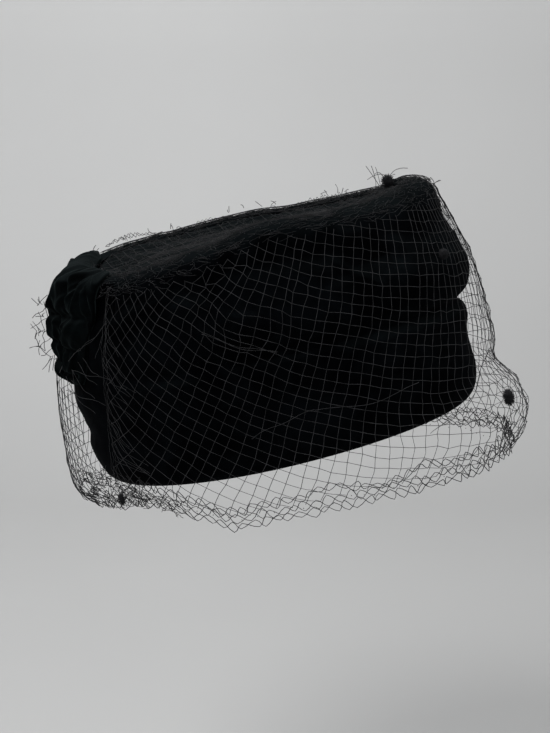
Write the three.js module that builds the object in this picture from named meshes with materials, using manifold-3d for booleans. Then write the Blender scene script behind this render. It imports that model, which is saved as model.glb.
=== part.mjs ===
// A draped velvet pillbox hat with a net veil, as worn: the crown leans back and the net hangs below its rim.
// Millimetres. The part's frame has +X to the wearer's face, +Y to the wearer's left and +Z up, with the
// origin at the centre of the head opening. Every shape is made in the hat's own frame, whose z runs up the
// crown's axis, and one group leans that frame back. Angles run round the axis from the front, by the left.
import * as THREE from "three";
import { mergeVertices } from "three/addons/utils/BufferGeometryUtils.js";
import Module from "manifold-3d";

const wasm = await Module();
wasm.setup();

// Driving dimensions.
const opening = { halfLength: 96, halfWidth: 82, egg: 0.03 }; // the head opening, an oval a little wider behind
const leanBack = 13.5; // degrees between the crown's axis and the vertical
const velvet = 2.4; // thickness of the velvet with its backing
const clearance = 0.35; // gap between neighbouring pieces
const bandSections = 58; // sections round the band's two tiers and the crown tip
const net = { thickness: 1, bar: 3, columns: 15 }; // the veil's coarse net
const knotSpan = 31; // degrees the knot reaches to each side of the centre back
const knotColumns = 34; // columns across the knot

// The band's outer surface, from the hem inside the opening, round the rim and up to the seam with the crown
// tip. Its lower roll ends in the tuck, where the upper drape is set in. Each row gives, at the front, the side
// and the back, how far the surface stands out from the opening's oval and its height.
const bandRows = [
  { name: "hem_edge", front: [1.2, 17], side: [1.2, 17], back: [1.2, 17] },
  { name: "hem_inner", front: [0, 6], side: [0, 6], back: [0, 6] },
  { name: "hem_turn", front: [2.2, -2.5], side: [2.2, -1.8], back: [2.2, -1.5] },
  { name: "rim_bottom", front: [6.6, -4.2], side: [6.6, -4], back: [6, -3] },
  { name: "rim_outer", front: [12, 0.5], side: [11, -0.5], back: [10.8, 1.5] },
  { name: "low_roll", front: [15.2, 11], side: [14.2, 9.5], back: [14, 11] },
  { name: "low_roll_top", front: [14.2, 20.5], side: [13.8, 19], back: [14.6, 20] },
  { name: "low_dip", front: [13.7, 28], side: [12.8, 28.5], back: [14, 29] },
  { name: "low_bulge", front: [15.2, 37], side: [14.6, 39], back: [16, 38] },
  { name: "low_bulge_top", front: [16.5, 45], side: [14.8, 49], back: [17.2, 47] },
  { name: "tuck", front: [12.6, 50.8], side: [11.6, 56], back: [15.6, 56] },
  { name: "up_under", front: [20.2, 57.5], side: [15.2, 62], back: [14.4, 64] },
  { name: "up_bulge", front: [23.1, 69], side: [18, 72.5], back: [14, 74] },
  { name: "up_bulge_top", front: [22, 78], side: [17.4, 81], back: [14, 83] },
  { name: "up_slope", front: [17.6, 89], side: [13.4, 90], back: [13.4, 92] },
  { name: "minor_groove", front: [15, 99], side: [11.2, 98], back: [12, 99] },
  { name: "shoulder", front: [14.7, 107], side: [12, 104.5], back: [9.5, 104.5] },
  { name: "top_corner", front: [12.8, 114.5], side: [10, 110.8], back: [6, 109] },
  { name: "top_roll", front: [8.4, 119.4], side: [5, 114.4], back: [1.5, 111.3] },
  { name: "roll_inner", front: [0.6, 121.2], side: [-1.2, 115.8], back: [-4, 111.6] },
  { name: "seam", front: [-6, 118.6], side: [-6.8, 113.4], back: [-8.5, 109.6] },
];

// How far the crown's edge rises or sags, in degrees round the hat and millimetres.
const crownSag = [
  { angle: -180, lift: 0 },
  { angle: -150, lift: -2 },
  { angle: -128, lift: -3 },
  { angle: -115, lift: -1.8 },
  { angle: -101, lift: 1.2 },
  { angle: -82, lift: 6.4 },
  { angle: -56, lift: 1 },
  { angle: -40, lift: -0.8 },
  { angle: -15, lift: 0 },
  { angle: 12, lift: 0 },
  { angle: 30, lift: -3 },
  { angle: 50, lift: -2.4 },
  { angle: 70, lift: -1 },
  { angle: 88, lift: 1.9 },
  { angle: 124, lift: 1.6 },
  { angle: 138, lift: 3.8 },
  { angle: 156, lift: 4.6 },
  { angle: 180, lift: 0 },
];

// How far the net's hem rises between the right side and the back, where it is drawn up and in to the tie.
const hemRise = [
  { angle: -180, lift: 0 },
  { angle: -165, lift: 1 },
  { angle: -150, lift: 6 },
  { angle: -138, lift: 10 },
  { angle: -128, lift: 9 },
  { angle: -118, lift: 5 },
  { angle: -104, lift: 0 },
  { angle: 180, lift: 0 },
];
const hemDrawnIn = 1; // how far it comes in, as a share of its rise

// Soft folds across the band: from one angle and height to another, half as wide as given, and how far each
// stands out (or in, where negative).
const bandFolds = [
  { name: "back_crease", from: [-136, 92], to: [-98, 88], halfWidth: 7, rise: 2.6 },
  { name: "back_hollow", from: [-138, 80], to: [-100, 75], halfWidth: 6, rise: -1.6 },
  { name: "middle_crease", from: [-100, 98], to: [-66, 90], halfWidth: 6, rise: 2.2 },
  { name: "front_crease", from: [-62, 106], to: [-40, 92], halfWidth: 6, rise: 2 },
  { name: "low_swag", from: [-110, 22], to: [-40, 34], halfWidth: 7, rise: 1.8 },
  { name: "low_hollow", from: [-120, 40], to: [-60, 50], halfWidth: 6, rise: -1.5 },
  { name: "left_crease", from: [70, 88], to: [140, 92], halfWidth: 7, rise: 2.4 },
  { name: "left_swag", from: [40, 34], to: [115, 24], halfWidth: 7, rise: 1.8 },
];

// The crown tip, from its edge inwards: the share of the way to the middle and the drop below the edge.
const tipRows = [
  { name: "edge", inward: 0, drop: 0 },
  { name: "slope", inward: 0.08, drop: 2.2 },
  { name: "dish", inward: 0.22, drop: 3.6 },
  { name: "inner", inward: 0.5, drop: 3.2 },
  { name: "middle", inward: 0.78, drop: 2.4 },
];

// The knot over the back of the band: the band's row it lies over, how far it puffs up from it and the share
// of the knot's span it reaches to.
const knotRows = [
  { over: "tuck", puff: 0.8, reach: 0.36 },
  { over: "up_under", puff: 6.4, reach: 0.58 },
  { over: "up_bulge", puff: 4.6, reach: 0.82 },
  { over: "up_bulge_top", puff: 5.2, reach: 0.96 },
  { over: "up_slope", puff: 6, reach: 1.04 },
  { over: "minor_groove", puff: 5.4, reach: 1.08 },
  { over: "shoulder", puff: 5, reach: 1.08 },
  { over: "top_corner", puff: 5.4, reach: 1 },
  { over: "top_roll", puff: 6.5, reach: 0.86 },
  { over: "roll_inner", puff: 6, reach: 0.74 },
  { over: "seam", puff: 0.8, reach: 0.56 },
];

// The knot's pleats run in arcs from a gather at its right upper end to a tail at its foot. Both are given as
// the distance round from the centre back and the height.
const knotPleats = { gather: [50, 112], tail: [-2, 57], folds: 5, depth: 1.5 };

// The veil's crossing bars from the crown's edge down to its hem, as the band's rows are given.
const veilRows = [
  { name: "crown_edge", front: [4.5, 124.6], side: [1.8, 119.4], back: [1, 115.6] },
  { name: "top_corner", front: [17.2, 114.6], side: [14.4, 111], back: [12.4, 108.6] },
  { name: "brow", front: [25.8, 77], side: [21.4, 77.5], back: [20.5, 77] },
  { name: "middle", front: [28.6, 42], side: [19.2, 43], back: [28, 44] },
  { name: "turn_in", front: [26.6, 13], side: [18.4, 11], back: [31, 12] },
  { name: "pouf_top", front: [36.6, -3], side: [23, -3], back: [31.4, 2] },
  { name: "pouf", front: [39.2, -17], side: [25, -12], back: [29, -4] },
  { name: "hem", front: [22, -39], side: [19, -26.5], back: [24, -12] },
];
const netStartsBehindAt = 3; // the row it starts at where the knot lies over the back

// The chenille dots: the angle, how far out from the opening's oval, the height and the size.
const dots = [
  { name: "dot_front", angle: -24, out: 37.8, z: -2.5, radius: [3.1, 3.4, 4.8] },
  { name: "dot_brow", angle: -30, out: 25, z: 81.7, radius: [2.6, 3, 3] },
  { name: "dot_crown", angle: 2, out: -10.3, z: 121.9, radius: [3.8, 3.6, 4.1] },
];

// The tie that holds the net's lower corner: a knotted core with short chenille ends.
const tie = { angle: -140.5, out: 24.2, z: -5, core: [2.4, 2.4, 3.4], endLength: 4.6, endRadius: 0.9 };
const tieEnds = [
  { name: "up", lean: 12, around: 40 },
  { name: "down", lean: 158, around: 300 },
  { name: "out", lean: 84, around: 150 },
  { name: "aside", lean: 105, around: 250 },
];

const radians = THREE.MathUtils.degToRad;
const mix = THREE.MathUtils.lerp;

function smooth(t) {
  const s = THREE.MathUtils.clamp(t, 0, 1);
  return s * s * (3 - 2 * s);
}

// Degrees from one angle to another, between -180 and 180.
function turn(from, to) {
  return ((((to - from + 180) % 360) + 360) % 360) - 180;
}

// A point that stands out by some distance from the opening's oval, at a height in the hat's own frame.
function ovalPoint(angle, out, z) {
  const c = Math.cos(radians(angle));
  const s = Math.sin(radians(angle));
  const width = opening.halfWidth * (1 - opening.egg * c);
  const nx = c / opening.halfLength;
  const ny = s / width;
  const n = Math.hypot(nx, ny);
  return new THREE.Vector3(opening.halfLength * c + (out * nx) / n, width * s + (out * ny) / n, z);
}

// A table's lift at an angle, easing from one of its rows to the next.
function liftAt(table, angle) {
  const a = turn(0, angle);
  const next = Math.max(table.findIndex((row) => row.angle >= a), 1);
  const p = table[next - 1];
  const q = table[next];
  return mix(p.lift, q.lift, smooth((a - p.angle) / (q.angle - p.angle)));
}

// A row's [out, z] at an angle, blended between its front, side and back.
function rowAt(row, angle) {
  const c = Math.cos(radians(angle));
  const end = c > 0 ? row.front : row.back;
  const [out, z] = row.side.map((side, i) => mix(side, end[i], c * c));
  return [out, z + liftAt(crownSag, angle) * smooth((z - 62) / 46)];
}

// How far the folds across the band move it at an angle and height.
function foldAt(angle, z) {
  return bandFolds.reduce((sum, fold) => {
    const share = turn(fold.from[0], angle) / turn(fold.from[0], fold.to[0]);
    const window = smooth(share * 5 + 0.5) * smooth((1 - share) * 5 + 0.5);
    const off = (z - mix(fold.from[1], fold.to[1], share)) / fold.halfWidth;
    return sum + fold.rise * window * Math.exp(-off * off);
  }, 0);
}

// The same profile moved sideways by a distance, to the left of its run.
function offsetProfile(points, distance) {
  return points.map(([r, z], i) => {
    const [r0, z0] = points[Math.max(i - 1, 0)];
    const [r1, z1] = points[Math.min(i + 1, points.length - 1)];
    const length = Math.hypot(r1 - r0, z1 - z0);
    return [r - ((z1 - z0) / length) * distance, z + ((r1 - r0) / length) * distance];
  });
}

function bandProfile(angle) {
  return bandRows.map((row) => {
    const [out, z] = rowAt(row, angle);
    return [out + (z > 8 && out > 8 ? foldAt(angle, z) : 0), z];
  });
}

function geometryOf(points, triangles) {
  const geometry = new THREE.BufferGeometry();
  geometry.setAttribute("position", new THREE.Float32BufferAttribute(points.flatMap((p) => p.toArray()), 3));
  geometry.setIndex(triangles);
  geometry.computeVertexNormals();
  return geometry;
}

// Joins closed loops of points, one after another round a ring.
function ringOfLoops(loops) {
  const size = loops[0].length;
  const triangles = [];
  loops.forEach((loop, i) => {
    const next = ((i + 1) % loops.length) * size;
    for (let k = 0; k < size; k++) {
      const a = i * size + k;
      const b = i * size + ((k + 1) % size);
      const c = next + k;
      const d = next + ((k + 1) % size);
      triangles.push(a, c, b, b, c, d);
    }
  });
  return geometryOf(loops.flat(), triangles);
}

function ringAngles() {
  return Array.from({ length: bandSections }, (_, i) => (i / bandSections) * 360);
}

// A tier of the band between two of its rows, as a closed ring of cloth that starts a distance past the first.
function bandTier(first, last, after) {
  const [start, end] = [first, last].map((name) => bandRows.findIndex((row) => row.name === name));
  const loops = ringAngles().map((angle) => {
    const outer = bandProfile(angle);
    const faces = [outer, offsetProfile(outer, velvet)].map((face) => {
      const [from, to] = [face[start], face[start + 1]];
      const share = after / Math.hypot(to[0] - from[0], to[1] - from[1]);
      return [from.map((value, i) => mix(value, to[i], share)), ...face.slice(start + 1, end + 1)];
    });
    return [...faces[0], ...faces[1].reverse()].map(([out, z]) => ovalPoint(angle, out, z));
  });
  return ringOfLoops(loops);
}

// The tip's two faces start at the band's edge, one clearance further along, and dish towards the middle.
function crownTip() {
  const middle = new THREE.Vector3(0, 0, 0);
  const edges = ringAngles().map((angle) => {
    const outer = bandProfile(angle);
    const inner = offsetProfile(outer, velvet);
    const last = outer.length - 1;
    const run = [outer[last][0] - outer[last - 1][0], outer[last][1] - outer[last - 1][1]];
    const step = clearance / Math.hypot(...run);
    return [outer[last], inner[last]].map(([out, z]) => ovalPoint(angle, out + run[0] * step, z + run[1] * step));
  });
  edges.forEach(([top]) => middle.addScaledVector(top, 1 / edges.length));
  const size = 2 * tipRows.length;
  const points = edges.flatMap(([top, under]) => {
    const face = (start, lower) =>
      tipRows.map(({ inward, drop }) => {
        const p = start.clone().lerp(middle, inward);
        return p.setZ(mix(start.z, middle.z - lower, smooth(inward * 2)) - drop);
      });
    return [...face(top, 0), ...face(under, velvet).reverse()];
  });
  const last = tipRows[tipRows.length - 1];
  const centreTop = points.push(middle.clone().setZ(middle.z - last.drop)) - 1;
  const centreUnder = points.push(middle.clone().setZ(middle.z - last.drop - velvet)) - 1;
  const triangles = [];
  edges.forEach((_, i) => {
    const here = i * size;
    const next = ((i + 1) % edges.length) * size;
    for (let k = 0; k < size; k++) {
      if (k === tipRows.length - 1) continue;
      const l = (k + 1) % size;
      triangles.push(here + k, next + k, here + l, here + l, next + k, next + l);
    }
    triangles.push(here + tipRows.length - 1, next + tipRows.length - 1, centreTop);
    triangles.push(here + tipRows.length, centreUnder, next + tipRows.length);
  });
  return geometryOf(points, triangles);
}

// Closes a sheet of two grids of points round its sides: the first grid is on the right of the rows' run as
// seen from outside, the second on the left. Squares left out are open all the way through.
function sheetBetween(outer, inner, closed, isOpen) {
  const columns = outer.length;
  const rows = outer[0].length;
  const points = [...outer.flat(), ...inner.flat()];
  const under = columns * rows;
  const lastColumn = closed ? columns : columns - 1;
  const at = (i, k) => (i % columns) * rows + k;
  const filled = (i, k) => {
    if (k < 0 || k >= rows - 1) return false;
    if (!closed && (i < 0 || i >= lastColumn)) return false;
    return !isOpen((i + columns) % columns, k);
  };
  const triangles = [];
  const quad = (a, b, c, d) => triangles.push(a, b, c, a, c, d);
  for (let i = 0; i < lastColumn; i++) {
    for (let k = 0; k < rows - 1; k++) {
      if (!filled(i, k)) continue;
      const [a, b, c, d] = [at(i, k), at(i + 1, k), at(i + 1, k + 1), at(i, k + 1)];
      quad(a, b, c, d);
      quad(under + d, under + c, under + b, under + a);
      if (!filled(i, k - 1)) quad(b, a, under + a, under + b);
      if (!filled(i, k + 1)) quad(d, c, under + c, under + d);
      if (!filled(i - 1, k)) quad(a, d, under + d, under + a);
      if (!filled(i + 1, k)) quad(c, b, under + b, under + c);
    }
  }
  return geometryOf(points, triangles);
}

// How far the knot's pleats rise at an angle and height.
function pleatAt(angle, z) {
  const across = radians(turn(180, angle)) * opening.halfLength;
  const from = ([x, y]) => ({ way: Math.atan2(z - y, across - x), away: Math.hypot(across - x, z - y) });
  const gather = from(knotPleats.gather);
  const tail = from(knotPleats.tail);
  const settle = smooth(gather.away / 18) * smooth(tail.away / 12);
  return knotPleats.depth * Math.cos((gather.way - tail.way) * knotPleats.folds) * settle;
}

function backKnot() {
  const columns = Array.from({ length: knotColumns + 1 }, (_, i) => (i / knotColumns) * 2 - 1);
  const faceAt = (raise) =>
    columns.map((u) => {
      return knotRows.map(({ over, puff, reach }, k) => {
        const angle = 180 + u * knotSpan * reach;
        const band = bandProfile(angle);
        const above = offsetProfile(band, -1);
        const i = bandRows.findIndex((row) => row.name === over);
        const open = Math.pow(1 - Math.pow(Math.abs(u), 2.6), 0.7);
        const inside = k > 0 && k < knotRows.length - 1 ? open : 0;
        const height = clearance + puff * open + pleatAt(angle, band[i][1]) * inside + raise;
        const out = band[i][0] + (above[i][0] - band[i][0]) * height;
        const z = band[i][1] + (above[i][1] - band[i][1]) * height;
        return ovalPoint(angle, out, z);
      });
    });
  return sheetBetween(faceAt(velvet * 0.9), faceAt(0), false, () => false);
}

// The veil as a coarse net: bars down each column and along each row, with the squares between them open.
function veil() {
  const step = 360 / net.columns;
  const barTurn = (net.bar / 2 / opening.halfLength) * (180 / Math.PI);
  const angles = Array.from({ length: net.columns }, (_, i) => i * step).flatMap((a) => [
    a - barTurn,
    a + barTurn,
    a + step / 2,
  ]);
  const faceAt = (deeper) =>
    angles.map((angle) => {
      const rows = veilRows.map((row) => rowAt(row, angle)).map(([out, z], _, all) => {
        const share = THREE.MathUtils.clamp((12 - z) / (12 - all[all.length - 1][1]), 0, 1);
        const rise = liftAt(hemRise, angle) * share;
        return [out - rise * hemDrawnIn, z + rise];
      });
      const line = rows.flatMap(([out, z], k) => {
        const before = rows[Math.max(k - 1, 0)];
        const after = rows[Math.min(k + 1, rows.length - 1)];
        const along = (to) => {
          const length = Math.hypot(to[0] - out, to[1] - z) || 1;
          return [out + ((to[0] - out) / length) * (net.bar / 2), z + ((to[1] - z) / length) * (net.bar / 2)];
        };
        if (k === 0) return [[out, z], along(after)];
        if (k === rows.length - 1) return [along(before), [out, z]];
        return [along(before), along(after)];
      });
      return offsetProfile(line, -deeper).map(([out, z]) => ovalPoint(angle, out, z));
    });
  const isOpen = (i, k) => {
    const behindKnot = Math.abs(turn(180, angles[i] + 0.1)) < 36 - barTurn && k < netStartsBehindAt * 2;
    return behindKnot || (i % 3 !== 0 && k % 2 === 1);
  };
  return sheetBetween(faceAt(net.thickness), faceAt(0), true, isOpen);
}

function chenilleDot({ angle, out, z, radius }) {
  const geometry = new THREE.IcosahedronGeometry(1, 2);
  geometry.scale(...radius);
  geometry.rotateZ(radians(angle));
  const at = ovalPoint(angle, out, z);
  return geometry.translate(at.x, at.y, at.z);
}

function solidOf(geometry) {
  const bare = geometry.clone();
  bare.deleteAttribute("normal");
  bare.deleteAttribute("uv");
  const merged = mergeVertices(bare, 1e-4);
  const vertProperties = new Float32Array(merged.attributes.position.array);
  return new wasm.Manifold(
    new wasm.Mesh({ numProp: 3, vertProperties, triVerts: new Uint32Array(merged.index.array) }),
  );
}

function veilTie() {
  const core = new THREE.IcosahedronGeometry(1, 2).scale(...tie.core);
  const ends = tieEnds.map(({ lean, around }) => {
    const end = new THREE.CapsuleGeometry(tie.endRadius, tie.endLength, 2, 6);
    end.translate(0, tie.endLength / 2, 0);
    end.rotateX(radians(90));
    return end.rotateY(radians(lean)).rotateZ(radians(around));
  });
  const whole = ends.map(solidOf).reduce((solid, end) => solid.add(end), solidOf(core));
  const { vertProperties, triVerts } = whole.getMesh();
  const geometry = new THREE.BufferGeometry();
  geometry.setAttribute("position", new THREE.Float32BufferAttribute(vertProperties, 3));
  geometry.setIndex(Array.from(triVerts));
  geometry.computeVertexNormals();
  const at = ovalPoint(tie.angle, tie.out, tie.z);
  return geometry.translate(at.x, at.y, at.z);
}

const group = new THREE.Group();
const worn = new THREE.Group();
worn.rotation.y = -radians(leanBack);
group.add(worn);
const velvetMaterial = new THREE.MeshStandardMaterial({ color: 0x0a0c0e, roughness: 0.95, metalness: 0 });
const netMaterial = new THREE.MeshStandardMaterial({ color: 0x16181a, roughness: 0.8, metalness: 0 });
const chenilleMaterial = new THREE.MeshStandardMaterial({ color: 0x08090a, roughness: 1, metalness: 0 });

function addPiece(name, geometry, material) {
  const mesh = new THREE.Mesh(geometry, material.clone());
  mesh.name = name;
  worn.add(mesh);
}

addPiece("lower_roll", bandTier("hem_edge", "tuck", 0), velvetMaterial);
addPiece("upper_drape", bandTier("tuck", "seam", clearance), velvetMaterial);
addPiece("crown_tip", crownTip(), velvetMaterial);
addPiece("back_knot", backKnot(), velvetMaterial);
addPiece("veil", veil(), netMaterial);
addPiece("veil_tie", veilTie(), chenilleMaterial);
dots.forEach((dot) => addPiece(dot.name, chenilleDot(dot), chenilleMaterial));
export default group;
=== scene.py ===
"""A draped velvet pillbox hat with a net veil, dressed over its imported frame.

Lengths in the tables are millimetres in the hat's own frame, whose z runs up the crown's axis; points are
leaned back and turned into metres as each mesh is made.
"""
import math

import bpy
import numpy as np
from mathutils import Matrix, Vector, noise


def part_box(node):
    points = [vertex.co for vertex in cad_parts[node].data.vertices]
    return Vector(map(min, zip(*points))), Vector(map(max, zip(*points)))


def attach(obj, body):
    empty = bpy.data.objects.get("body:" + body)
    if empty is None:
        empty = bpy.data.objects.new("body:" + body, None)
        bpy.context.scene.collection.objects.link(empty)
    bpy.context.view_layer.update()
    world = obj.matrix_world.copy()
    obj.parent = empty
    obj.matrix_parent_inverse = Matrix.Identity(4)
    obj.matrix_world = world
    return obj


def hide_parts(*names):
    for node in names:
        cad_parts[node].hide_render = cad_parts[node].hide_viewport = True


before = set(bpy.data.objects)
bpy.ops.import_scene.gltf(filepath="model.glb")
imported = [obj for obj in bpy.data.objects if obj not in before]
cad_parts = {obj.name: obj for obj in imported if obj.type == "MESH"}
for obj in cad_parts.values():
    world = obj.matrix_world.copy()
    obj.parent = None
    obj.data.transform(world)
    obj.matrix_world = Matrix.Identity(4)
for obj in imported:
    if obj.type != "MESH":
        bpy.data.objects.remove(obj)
noise.seed_set(1)  # without it, noise_vector gives other values in each run
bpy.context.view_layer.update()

HALF_LENGTH, HALF_WIDTH, EGG = 96.0, 82.0, 0.03
LEAN_BACK = math.radians(13.5)
VELVET, CLEARANCE = 2.4, 0.35
CLOTH = VELVET * 0.94  # the velvet as it is drawn, a little inside the solids' wall
PER_DEGREE = 1.7  # millimetres along the back's wall for each degree
TIP_TUCKED = 1.4  # how far the tip goes under the band's edge
TIP_DIP = ([0, 0.013, 0.032, 0.06, 0.1, 0.22, 0.5, 1], [2.9, 2.8, 0.9, 0.5, 1.2, 3.2, 3.0, 2.2])  # its depths
MESH_PITCH = 6.35  # the net's square mesh
THREAD = 0.15  # the net thread's radius
SQUARED = 0.75  # how far the net's cells stay square where its rounds turn up to the seam
NET_TILT = math.tan(math.radians(21.5))  # the net's rounds against the rim, lower at the front
SEAM = -136.0  # the angle at which the net's two ends meet, about which the line below wanders
HEM_CELLS = 60  # diamonds round the hem
SENSOR, LENS_PIXELS, PICTURE_PIXELS, CAMERA_RISE = 36, 1770, 550, 8.5  # in mm, pixels and degrees
SEAM_LINE = ([-20, 0, 40, 84, 105], [-142.5, -141.5, -138.0, -134.5, -133.0])  # its heights and angles
GATHER = (-133.5, 84.0)  # the angle and height to which the net is drawn up at the seam

BAND_ROWS = np.array([  # front, side and back: out from the opening's oval, height
    [[1.2, 17], [1.2, 17], [1.2, 17]],
    [[0, 6], [0, 6], [0, 6]],
    [[2.2, -2.5], [2.2, -1.8], [2.2, -1.5]],
    [[6.6, -4.2], [6.6, -4], [6, -3]],
    [[12, 0.5], [11, -0.5], [10.8, 1.5]],
    [[15.2, 11], [14.2, 9.5], [14, 11]],
    [[14.2, 20.5], [13.8, 19], [14.6, 20]],
    [[13.7, 28], [12.8, 28.5], [14, 29]],
    [[15.2, 37], [14.6, 39], [16, 38]],
    [[16.5, 45], [14.8, 49], [17.2, 47]],
    [[12.6, 50.8], [11.6, 56], [15.6, 56]],
    [[20.2, 57.5], [15.2, 62], [14.4, 64]],
    [[23.1, 69], [18, 72.5], [14, 74]],
    [[22, 78], [17.4, 81], [14, 83]],
    [[17.6, 89], [13.4, 90], [13.4, 92]],
    [[15, 99], [11.2, 98], [12, 99]],
    [[14.7, 107], [12, 104.5], [9.5, 104.5]],
    [[12.8, 114.5], [10, 110.8], [6, 109]],
    [[8.4, 119.4], [5, 114.4], [1.5, 111.3]],
    [[0.6, 121.2], [-1.2, 115.8], [-4, 111.6]],
    [[-6, 118.6], [-6.8, 113.4], [-8.5, 109.6]],
], float)
ROW = {n: i for i, n in enumerate(
    "hem_edge hem_inner hem_turn rim_bottom rim_outer low_roll low_roll_top low_dip low_bulge low_bulge_top "
    "tuck up_under up_bulge up_bulge_top up_slope minor_groove shoulder top_corner top_roll roll_inner "
    "seam".split())}

CROWN_SAG = [  # how far the crown's edge rises or sags, in degrees round the hat
    (-180, 0), (-150, -2), (-128, -3), (-115, -1.8), (-101, 1.2), (-82, 6.4), (-56, 1), (-40, -0.8), (-15, 0),
    (12, 0), (30, -3), (50, -2.4), (70, -1), (88, 1.9), (116, 2.4), (126, 3.6), (140, 4.6), (156, 4.6),
    (180, 0),
]

BROAD_FOLDS = [  # from angle and height, to angle and height, half-width, rise
    (-136, 92, -98, 88, 7, 2.6),
    (-138, 80, -100, 75, 6, -1.6),
    (-100, 98, -66, 90, 6, 2.2),
    (-62, 106, -40, 92, 6, 2.0),
    (-110, 22, -40, 34, 7, 1.8),
    (-120, 40, -60, 50, 6, -1.5),
    (70, 88, 140, 92, 7, 2.4),
    (40, 34, 115, 24, 7, 1.8),
]

FINE_FOLDS = [  # the smaller creases of the drape, in the same columns
    (-142, 84, -112, 97, 2.6, 1.0),
    (-140, 68, -104, 62, 3.0, 1.0),
    (-132, 58, -92, 47, 3.2, -1.0),
    (-128, 30, -84, 38, 3.0, 0.9),
    (-118, 12, -62, 16, 3.2, 0.8),
    (-96, 84, -72, 76, 2.8, -1.1),
    (-88, 70, -58, 66, 3.2, 0.9),
    (-72, 84, -46, 92, 2.6, -1.0),
    (-66, 96, -52, 74, 2.6, 1.2),
    (-50, 36, -8, 24, 3.2, 0.9),
    (-36, 88, 20, 84, 2.8, 0.8),
    (-28, 42, 34, 38, 3.0, 0.8),
    (-20, 104, 30, 103, 2.4, 0.7),
    (10, 20, 62, 28, 3.2, 0.9),
    (28, 66, 70, 74, 3.0, 1.0),
    (52, 94, 96, 100, 2.6, -1.0),
    (64, 46, 118, 56, 3.2, 1.0),
    (92, 82, 140, 72, 3.0, -1.0),
    (100, 36, 150, 44, 3.0, 0.9),
    (118, 98, 144, 88, 2.6, 1.0),
    (150, 34, 210, 30, 3.2, 0.9),
    (160, 16, 222, 20, 3.2, 0.8),
]

KNOT_ROWS = [  # the band's row below, the puff above it, degrees past the back's centre to the left and right
    ("tuck", 0.8, -13, 25),
    ("up_under", 6.4, -4, 29),
    ("up_bulge", 4.6, 10, 33),
    ("up_bulge_top", 5.6, 24, 36),
    ("up_slope", 5.2, 30, 39.5),
    ("minor_groove", 6.0, 32, 40.5),
    ("shoulder", 5.6, 33, 41),
    ("top_corner", 5.0, 31, 42),
    ("top_roll", 4.0, 27, 42),
    ("roll_inner", 3.4, 23, 40),
    ("seam", 0.8, 17, 34),
]
KNOT_GATHER, KNOT_TAIL = (62.0, 113.0), (31.0, 56.0)  # from the centre back to the right, and the height

KNOT_CREASES = [  # from the centre back to the right and height at both ends, half-width, rise
    (18, 96, 66, 92, 2.2, -3.4),
    (22, 82, 50, 76, 2.0, -2.6),
    (44, 111, 45, 95, 1.6, -2.2),
    (55, 109, 54, 96, 1.3, -1.2),
    (49, 108, 50, 97, 3.2, 1.2),
    (30, 100, 40, 84, 1.8, -1.8),
    (36, 90, 60, 84, 3.6, 1.6),
    (22, 72, 44, 62, 1.8, -1.6),
    (62, 104, 63, 92, 1.4, 1.5),
]

VEIL_ROWS = np.array([  # from the hem up to the crown's edge, as the band's rows are given
    [[17, -42], [15.5, -29], [20, -14]],
    [[30, -33], [22, -22], [27, -9]],
    [[38.6, -18], [25, -12], [30, -4]],
    [[36.5, -4], [23.5, -3], [31, 2]],
    [[26, 12], [18.4, 10.5], [30.5, 12]],
    [[28, 24], [18.2, 22], [29.5, 24]],
    [[28, 42], [18.8, 44], [27.5, 44]],
    [[25.2, 74], [20.8, 75.5], [20, 77]],
    [[14.4, 113.2], [11.6, 109.4], [7.6, 107.4]],
], float)
VEIL_RIM = 4  # the row at the rim

HEM_RISE = [  # how far the hem rises and comes in behind, in degrees round the hat
    (-180, 0), (-165, 1), (-150, 6), (-138, 10), (-128, 9), (-118, 5), (-104, 0), (180, 0),
]

LATTICE_TOP = [  # the height at which the even mesh gives way to the crumpled net of the crown
    (-180, 103), (-134, 103), (-108, 104), (-98, 108.5), (-84, 115.5), (-66, 113.5), (-48, 110.5),
    (-30, 110.5), (-12, 113), (12, 117), (180, 117),
]

FRAYS = [  # the net's loose ends: angle, out, height (over 100, lifted with the crown), count, length, rise
    (22, -3, 122, 3, 15, 1.5),
    (30, -2, 121, 4, 12, 1.1),
    (24, -2, 121, 2, 6, 0.8),
    (52, -1, 120, 3, 5, 0.8),
    (60, -1, 120, 3, 4, 0.6),
    (80, 0, 118, 4, 5, 0.8),
    (92, 0, 118, 3, 4, 0.8),
    (116, 0, 116, 4, 5, 0.6),
    (124, 0, 116, 3, 5, 0.8),
    (136, 0, 115, 3, 4, 0.7),
    (154, 2, 114, 3, 4, 0.7),
    (0, 14, 113, 4, 5, 0.5),
    (-6, 11, 116, 3, 5, 0.9),
    (-60, 4, 117, 3, 4, 0.5),
    (-95, 4, 115, 3, 4, 0.4),
    (178, 25, 100, 3, 5, 0.3),
    (176, 27, 92, 3, 6, 0.6),
    (180, 29, 84, 3, 7, 0.5),
    (-176, 29, 77, 4, 8, 0.2),
    (178, 26, 70, 4, 9, -0.3),
]

CREASES = [  # doubled threads: angle and height at both ends, sag and count
    (-17, 22, -52, -4, 5.0, 2),
    (-98, 17, -80, 24, -1.5, 1),
    (-80, 24, -50, 22, 3.0, 1),
    (-150, 4, -176, 14, 3.0, 2),
    (-104, 76, -86, 58, 2.0, 2),
    (-133, 90, -146, 77, 1.0, 2),
    (-146, 77, -163, 64, -1.0, 2),
    (-135, 84, -139, 72, 0.0, 1),
    (-148, 71, -140, 58, 1.5, 1),
    (-152, 67, -142, 51, 1.5, 1),
    (-145, 73, -138, 62, 1.0, 1),
    (-157, 63, -143, 43, 2.0, 1),
    (-134, 60, -152, 66, -1.0, 1),
    (-138, 47, -158, 55, -1.5, 1),
]


def smooth(t):
    s = np.clip(t, 0.0, 1.0)
    return s * s * (3 - 2 * s)


def turn(start, end):
    return (end - start + 180.0) % 360.0 - 180.0


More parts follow.
